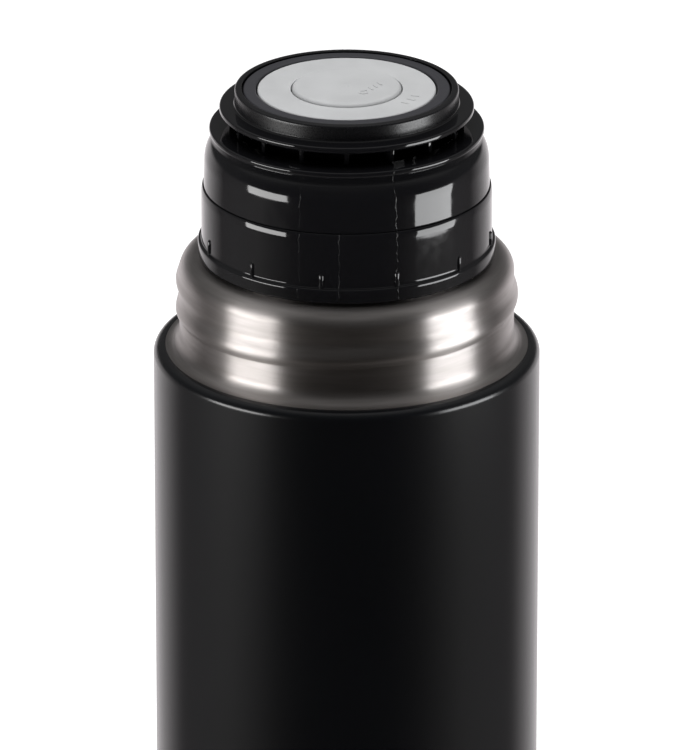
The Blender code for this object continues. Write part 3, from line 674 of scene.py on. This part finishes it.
def makeCap():
    top, low = topOf("top_cap"), bottomOf("top_cap")
    flangeTop = top - cap["flangeTop"]
    under = flangeTop - cap["flangeThick"]
    rim, rimRound, flange, rounding = cap["rim"], cap["rimRound"], cap["flange"], cap["flangeRound"]
    fall, chamfer = cap["flangeFall"], cap["flangeChamfer"]
    spigot, bore, hole = cap["spigot"], cap["spigotBore"], cap["stemHole"]
    pocket, pocketFloor, floor = cap["pocket"], top - cap["pocketDepth"], low + cap["floor"]
    outline = [(rim - rimRound, top), *arc(rim - rimRound, top, rim, top - rimRound, 6)]
    outline += [(rim + out, flangeTop + up) for out, up in cap["rimFoot"]]
    outline += [(flange - rounding, flangeTop - fall)]
    outline += arc(flange - rounding, flangeTop - fall, flange, flangeTop - fall - rounding, 5)
    outline += [(flange, under + rounding), (flange - chamfer, under), (spigot, under), (spigot, low)]
    outline += [(hole, low), (hole, floor), (bore, floor), (bore, pocketFloor)]
    outline += [(pocket, pocketFloor), (pocket, top)]
    piece = turnPiece("capWithRim", outline, bevel=cap["bevel"])
    vanes = []
    gapLow = topOf("pour_collar") + cap["vaneLift"]
    height = under - gapLow + cap["vaneSink"]
    size, place = (*cap["vaneSize"], height), (cap["vaneRadius"], 0, gapLow + height / 2)
    for k in range(cap["vanes"]):
        vanes.append(roundedBox("vane", size, place, tau * k / cap["vanes"], cap["vaneBevel"]))
    joinInto(piece, vanes)
    placePiece(piece, "stopper", "gloss_black_plastic", glossBlack, "top_cap")
    piece.data.materials.append(satinBlack)       # the rim's side has a spark-eroded band
    for face in piece.data.polygons:
        x, y, z = face.center / mm
        if z > flangeTop + cap["bandFoot"] and hypot(x, y) > rim - cap["bandFoot"]:
            face.material_index = 1


makeCap()
print("cap done")


# stopper: bezel, grey plate and button
bezel = {"gap": 0.3, "innerDrop": 0.15, "chamfer": 0.2, "bevel": 0.08}
plate = {
    "gap": 0.22,             # round the button
    "innerRound": 0.12,
    "outerRound": 0.35,
    "thick": 1.9,
    "guideWall": 1.0,
    "barSize": (1.6, 0.45, 0.16),
    "barRadius": 12.9,
    "barAngles": (-18, -27, -36),   # degrees from the right side
}
button = {
    "dimple": (0.55, 0.10, 0.02),   # radius, and how far its middle and edge lie below the top
    "dimpleEdge": 0.8,
    "round": 0.75,
    "sideWall": 1.1,
    "thick": 1.5,
    "boss": (4.5, 2.9, 5.9),        # outer and inner radius, and lower end from the top down
    "run": 58,                      # degrees: the marks run up and away to the right
    "drop": (3.0, -3.6),
    "dropSize": 0.85,
    "bars": (4.3, -1.6),
    "barStep": 1.495,
    "barTilt": 62,                  # degrees from the run
    "barSize": (1.5, 0.38, 0.16),
}
mark = {
    "sink": 0.02,
    "height": 0.12,
    "line": 0.28,            # the outline's width, as a share of the drop's size
    "pinch": 0.55,
    "reach": 0.6,
    "bevel": 0.03,
    "barBevel": 0.05,
}


def makeBezel():
    top, low, outer = topOf("bezel_ring"), bottomOf("bezel_ring"), radiusOf("bezel_ring")
    inner, chamfer = radiusOf("top_plate") + bezel["gap"], bezel["chamfer"]
    outline = [(inner, top - bezel["innerDrop"]), (inner + chamfer, top), (outer - chamfer, top)]
    outline += [(outer, top - chamfer), (outer, low), (inner, low)]
    piece = turnPiece("bezel", outline, bevel=bezel["bevel"])
    # the bezel's greyer black base colour is painted sheen
    placePiece(piece, "stopper", "satin_black_plastic", paintedSheenBlack, "bezel_ring")


def raisedDrop(size, x, y, z, turn):
    # a plain drop outline, raised a little, as a mark for pouring
    deselectAll()
    bpy.ops.mesh.primitive_circle_add(vertices=32, radius=size * mm, fill_type="NGON", location=(0, 0, 0))
    drop = bpy.context.object
    drop.name = drop.data.name = "drop"
    for point in drop.data.vertices:
        if point.co.y > 0:
            pull = point.co.y / (size * mm)
            point.co.x *= 1 - mark["pinch"] * pull ** 2
            point.co.y *= 1 + mark["reach"] * pull
    bpy.ops.object.mode_set(mode="EDIT")
    bpy.ops.mesh.select_all(action="SELECT")
    bpy.ops.mesh.inset(thickness=size * mark["line"] * mm)
    bpy.ops.mesh.delete(type="FACE")
    bpy.ops.mesh.select_all(action="SELECT")
    bpy.ops.mesh.extrude_region_move(TRANSFORM_OT_translate={"value": (0, 0, mark["height"] * mm)})
    bpy.ops.mesh.select_all(action="SELECT")
    bpy.ops.mesh.normals_make_consistent(inside=False)
    bpy.ops.object.mode_set(mode="OBJECT")
    drop.location = (x * mm, y * mm, z * mm)
    drop.rotation_euler.z = turn
    bpy.ops.object.transform_apply(location=True, rotation=True, scale=True)
    applyModifier(drop, "BEVEL", width=mark["bevel"] * mm, segments=2, limit_method="ANGLE")
    bpy.ops.object.shade_smooth_by_angle(angle=radians(turning["smoothAngle"]))
    return drop


def raisedBar(size, x, y, z, turn):
    bar = roundedBox("bar", size, (0, 0, 0), turn, mark["barBevel"])
    for point in bar.data.vertices:
        point.co += Vector((x, y, z)) * mm
    return bar


def makePlate():
    top, low, outer = topOf("top_plate"), bottomOf("top_plate"), radiusOf("top_plate")
    inner = radiusOf("button") + plate["gap"]
    under, guide = top - plate["thick"], inner + plate["guideWall"]
    small, large = plate["innerRound"], plate["outerRound"]
    outline = [(inner, top - small), *arc(inner, top - small, inner + small, top, 3, "upright")]
    outline += [(outer - large, top), *arc(outer - large, top, outer, top - large, 5)]
    outline += [(outer, under), (guide, under), (guide, low), (inner, low)]
    piece = turnPiece("greyPlate", outline)
    bars, reach = [], plate["barRadius"]
    for a in map(radians, plate["barAngles"]):      # three short bars beside the button
        bars.append(raisedBar(plate["barSize"], reach * cos(a), reach * sin(a), top + mark["sink"], a))
    joinInto(piece, bars)
    placePiece(piece, "stopper", "grey_plastic", greyPlastic, "top_plate")


def makeButton():
    top, low, outer = topOf("button"), bottomOf("button"), radiusOf("button")
    dimple, middle, rise = button["dimple"]
    rounding, wall, under = button["round"], outer - button["sideWall"], top - button["thick"]
    bossOuter, bossInner, bossDepth = button["boss"]
    outline = [(0, top - middle), *arc(0, top - middle, dimple, top - rise, 4), (button["dimpleEdge"], top)]
    outline += [(outer - rounding, top), *arc(outer - rounding, top, outer, top - rounding, 8)]
    outline += [(outer, low), (wall, low), (wall, under), (bossOuter, under), (bossOuter, top - bossDepth)]
    outline += [(bossInner, top - bossDepth), (bossInner, under), (0, under)]
    piece = turnPiece("pushButton", outline)
    run = radians(button["run"])
    marks = [raisedDrop(button["dropSize"], *button["drop"], top - mark["sink"], run - pi / 2)]
    startX, startY = button["bars"]
    for k in range(3):
        x, y = startX + button["barStep"] * k * cos(run), startY + button["barStep"] * k * sin(run)
        turn = run + radians(button["barTilt"])
        marks.append(raisedBar(button["barSize"], x, y, top + mark["sink"], turn))
    joinInto(piece, marks)
    placePiece(piece, "plunger", "grey_plastic", greyPlastic, "button")


makeBezel()
makePlate()
makeButton()
print("top of the stopper done")


# foot
foot = {
    "upstand": 34.1,
    "upstandWall": 0.7,
    "rimStep": 2.9,          # heights from the surface that the flask stands on
    "rimCorner": 1.4,
    "rimRound": 1.2,
    "contact": 31.6,
    "recess": (31.0, 3.0),
    "tipHole": 1.9,
    "recessTop": 3.8,
    "bevel": 0.15,
}
disc = {
    "chamfer": 0.35,
    "outerRing": (27.0, 26.6),
    "middle": (11.0, 10.6),
    "groove": 0.3,
    "bevel": 0.1,
}


def makeFoot():
    upstand, high, rim = foot["upstand"], topOf("outer_bottom"), radiusOf("outer_bottom")
    corner, step, inside = foot["rimCorner"], foot["rimStep"], upstand - foot["upstandWall"]
    recessRadius, recess = foot["recess"]
    outline = [(upstand, high), (upstand, step), (rim, step), (rim, corner)]
    outline += arc(rim, corner, rim - foot["rimRound"], 0.0, 8, "upright")
    outline += [(foot["contact"], 0.0), (recessRadius, recess), (foot["tipHole"], recess)]
    outline += [(foot["tipHole"], foot["recessTop"]), (inside, foot["recessTop"]), (inside, high)]
    piece = turnPiece("footShell", outline, bevel=foot["bevel"])
    placePiece(piece, "flask", "matt_black_paint", powderCoat, "outer_bottom")


def makeDisc():
    low, top, outer = bottomOf("base_plate"), topOf("base_plate"), radiusOf("base_plate")
    ringOut, ringIn = disc["outerRing"]
    middleOut, middleIn = disc["middle"]
    chamfer, groove = disc["chamfer"], low + disc["groove"]
    outline = [(0, top), (outer, top), (outer, low + chamfer), (outer - chamfer, low), (ringOut, low)]
    outline += [(ringIn, groove), (middleOut, groove), (middleIn, low), (0, low)]
    piece = turnPiece("footDisc", outline, bevel=disc["bevel"])
    placePiece(piece, "flask", "satin_black_plastic", satinBlack, "base_plate")


makeFoot()
makeDisc()
print("foot done")


# return spring
spring = {
    "radius": 5.1,
    "wire": 0.9,
    "turns": 5,
    "endTurns": 0.75,        # these lie flat
    "stepsPerTurn": 36,
    "travel": 3.5,
    "smoothAngle": 50,
}


def makeSpring():
    low, high, wire, r = bottomOf("button_spring"), topOf("button_spring"), spring["wire"], spring["radius"]
    curve, path = tubeOnPath("returnSpring", wire / 2, 4)
    steps = spring["stepsPerTurn"] * spring["turns"]
    path.points.add(steps)
    for k, point in enumerate(path.points):
        turns = spring["turns"] * k / steps
        rise = (turns - spring["endTurns"]) / (spring["turns"] - 2 * spring["endTurns"])
        height = low + wire / 2 + (high - low - wire) * min(1.0, max(0.0, rise))
        point.co = (r * cos(tau * turns) * mm, r * sin(tau * turns) * mm, height * mm, 1)
    coil = meshOfTube("returnSpring", curve)
    bpy.ops.object.shade_smooth_by_angle(angle=radians(spring["smoothAngle"]))
    placePiece(coil, "stopper", "spring_wire", springWire, "button_spring")
    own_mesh(coil)


makeSpring()
print("spring done")


# finishes of the pieces inside
insideFinish = {
    "inner_vessel": polishedSteel, "inner_bottom": polishedSteel, "radiation_foil": foil,
    "vacuum_seal": solderGlass, "getter": getterMetal,
    "getter_clip": springWire, "neck_gasket": silicone, "plug_shell": satinBlack, "plug_insulation": foam,
    "plug_lid": satinBlack, "stem_seal": silicone, "latch_sleeve": whitePlastic, "valve_stem": whitePlastic,
    "valve_head": whitePlastic, "valve_seal": silicone, "stem_clip": springWire, "latch_rotor": whitePlastic,
}
for nodeName, finish in insideFinish.items():
    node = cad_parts[nodeName]
    node.data.materials.clear()
    node.data.materials.append(finish)
print("inner finishes done")


# floor, lights and camera; sizes here are in metres
studio = {
    "floorSize": 8.0,
    "floorGlow": 0.45,       # the light reaches the table from below as well, so it stays even
    "floorGrain": 900.0,     # in a metre
    "left": {"azimuth": -65, "distance": 0.70, "width": 0.455, "lowest": -13, "highest": 4,
             "radiance": 8.7, "colour": (1.0, 0.995, 0.99)},
    "right": {"azimuth": 70, "distance": 0.20, "width": 0.125, "lowest": -15.9, "highest": 5,
              "radiance": 7.4, "colour": (0.98, 0.99, 1.0)},
    "overhead": {"size": (1.2, 1.2), "radiance": 4.0, "colour": (1.0, 1.0, 1.0), "place": (0, 0, 1.5),
                 "turn": (0, 0, 0), "inGloss": False},
}


def makeFloor():
    # a lit white table
    deselectAll()
    bpy.ops.mesh.primitive_plane_add(size=studio["floorSize"], location=(0, 1.0, 0))
    floor = bpy.context.object
    floor.name = "paperFloor"
    material, tree, shader = newMaterial("seamless_paper", "f4f4f4", 0.9,
                                         Emission_Strength=studio["floorGlow"])
    shader.inputs["Emission Color"].default_value = grey(1.0)
    where = addNode(tree, "ShaderNodeTexCoord")
    grain = addNode(tree, "ShaderNodeTexNoise", {"Vector": (where, "Object")},
                    Scale=studio["floorGrain"], Detail=2.0)
    tint = addNode(tree, "ShaderNodeValToRGB", {"Fac": (grain, "Fac")}, stops=tints("f3f3f3", "f6f6f6"))
    linkTo(tree, tint, "Color", shader, "Base Color")
    floor.data.materials.append(material)
    floor.visible_glossy = False
    floor.visible_shadow = False


def makePanel(name, size, radiance, colour, place, turn, inGloss=True):
    # a flat soft light; radiance is what a mirror would show of it
    light = bpy.data.lights.new(name, "AREA")
    light.shape = "RECTANGLE"
    light.size, light.size_y = size
    light.energy = radiance * pi * size[0] * size[1]
    light.color = colour
    lamp = bpy.data.objects.new(name, light)
    bpy.context.scene.collection.objects.link(lamp)
    lamp.location = place
    lamp.rotation_euler = turn
    lamp.visible_camera = False
    lamp.visible_glossy = inGloss


def makeSideLight(name, azimuth, distance, width, lowest, highest, radiance, colour):
    # upright panel that faces the flask; azimuth is from the front, to the right, in degrees;
    # lowest and highest are its edges' elevations as seen from the mouth
    mouth = topOf("neck_ring") * mm
    low = mouth + distance * tan(radians(lowest))
    high = mouth + distance * tan(radians(highest))
    a = radians(azimuth)
    place = (distance * sin(a), -distance * cos(a), (low + high) / 2)
    makePanel(name, (width, high - low), radiance, colour, place, (radians(90), 0, a))


def makeWorld():
    # dark room in front, white sweep behind and below, dim ceiling
    world = bpy.data.worlds.new("studio")
    bpy.context.scene.world = world
    world.use_nodes = True
    tree = world.node_tree
    background = tree.nodes["Background"]
    where = addNode(tree, "ShaderNodeTexCoord")
    split = addNode(tree, "ShaderNodeSeparateXYZ", {"Vector": (where, "Generated")})
    back = addNode(tree, "ShaderNodeMapRange", {"Value": (split, "Y")}, From_Min=-1.0, From_Max=1.0)
    behind = addNode(tree, "ShaderNodeValToRGB", {"Fac": (back, "Result")}, stops=[
        (0.08, (0.012, 0.010, 0.009, 1)), (0.16, (0.05, 0.045, 0.04, 1)), (0.38, (0.30, 0.29, 0.28, 1)),
        (0.56, (0.26, 0.25, 0.25, 1)), (0.72, (0.16, 0.15, 0.15, 1)), (0.84, (0.70, 0.67, 0.68, 1)),
        (0.95, (1.15, 1.1, 1.12, 1))])
    above = addNode(tree, "ShaderNodeValToRGB", {"Fac": (split, "Z")},
                    stops=[(0.0, grey(0.08)), (0.45, grey(0.12)), (0.9, grey(0.42))])
    up = addNode(tree, "ShaderNodeMapRange", {"Value": (split, "Z")}, From_Min=-0.02, From_Max=0.12)
    front = addNode(tree, "ShaderNodeValToRGB", {"Fac": (back, "Result")}, stops=greys(0.25, 0.30, 0.55, 1.0))
    ceiling = addNode(tree, "ShaderNodeMix", {6: (above, "Color"), 7: (front, "Color")}, data_type="RGBA",
                      blend_type="MULTIPLY")    # dimmer towards the front
    ceiling.inputs[0].default_value = 1.0
    mixed = addNode(tree, "ShaderNodeMix", {6: (behind, "Color"), 7: (ceiling, 2)}, data_type="RGBA")
    linkTo(tree, up, "Result", mixed, 0)
    linkTo(tree, mixed, 2, background, "Color")


view = {"distance": 1.8, "height": 21.95, "aim": 0.1759, "lens": 509.8, "shift": 0.0047}


def makeCamera():
    # long lens from about 22 degrees above the front
    data = bpy.data.cameras.new("camera")
    data.sensor_fit = "HORIZONTAL"
    data.sensor_width = 36.0
    data.lens = view["lens"]
    data.shift_x = view["shift"]
    data.clip_end = 20.0
    camera = bpy.data.objects.new("camera", data)
    bpy.context.scene.collection.objects.link(camera)
    rise, distance = radians(view["height"]), view["distance"]
    camera.location = (0, -distance * cos(rise), view["aim"] + distance * sin(rise))
    camera.rotation_euler = (radians(90) - rise, 0, 0)
    bpy.context.scene.camera = camera


makeFloor()
makeSideLight("leftSoftbox", **studio["left"])
makeSideLight("rightSoftbox", **studio["right"])
makePanel("overheadFill", **studio["overhead"])
makeWorld()
makeCamera()
bpy.context.scene.view_settings.view_transform = "Standard"
print("floor, lights and camera done")
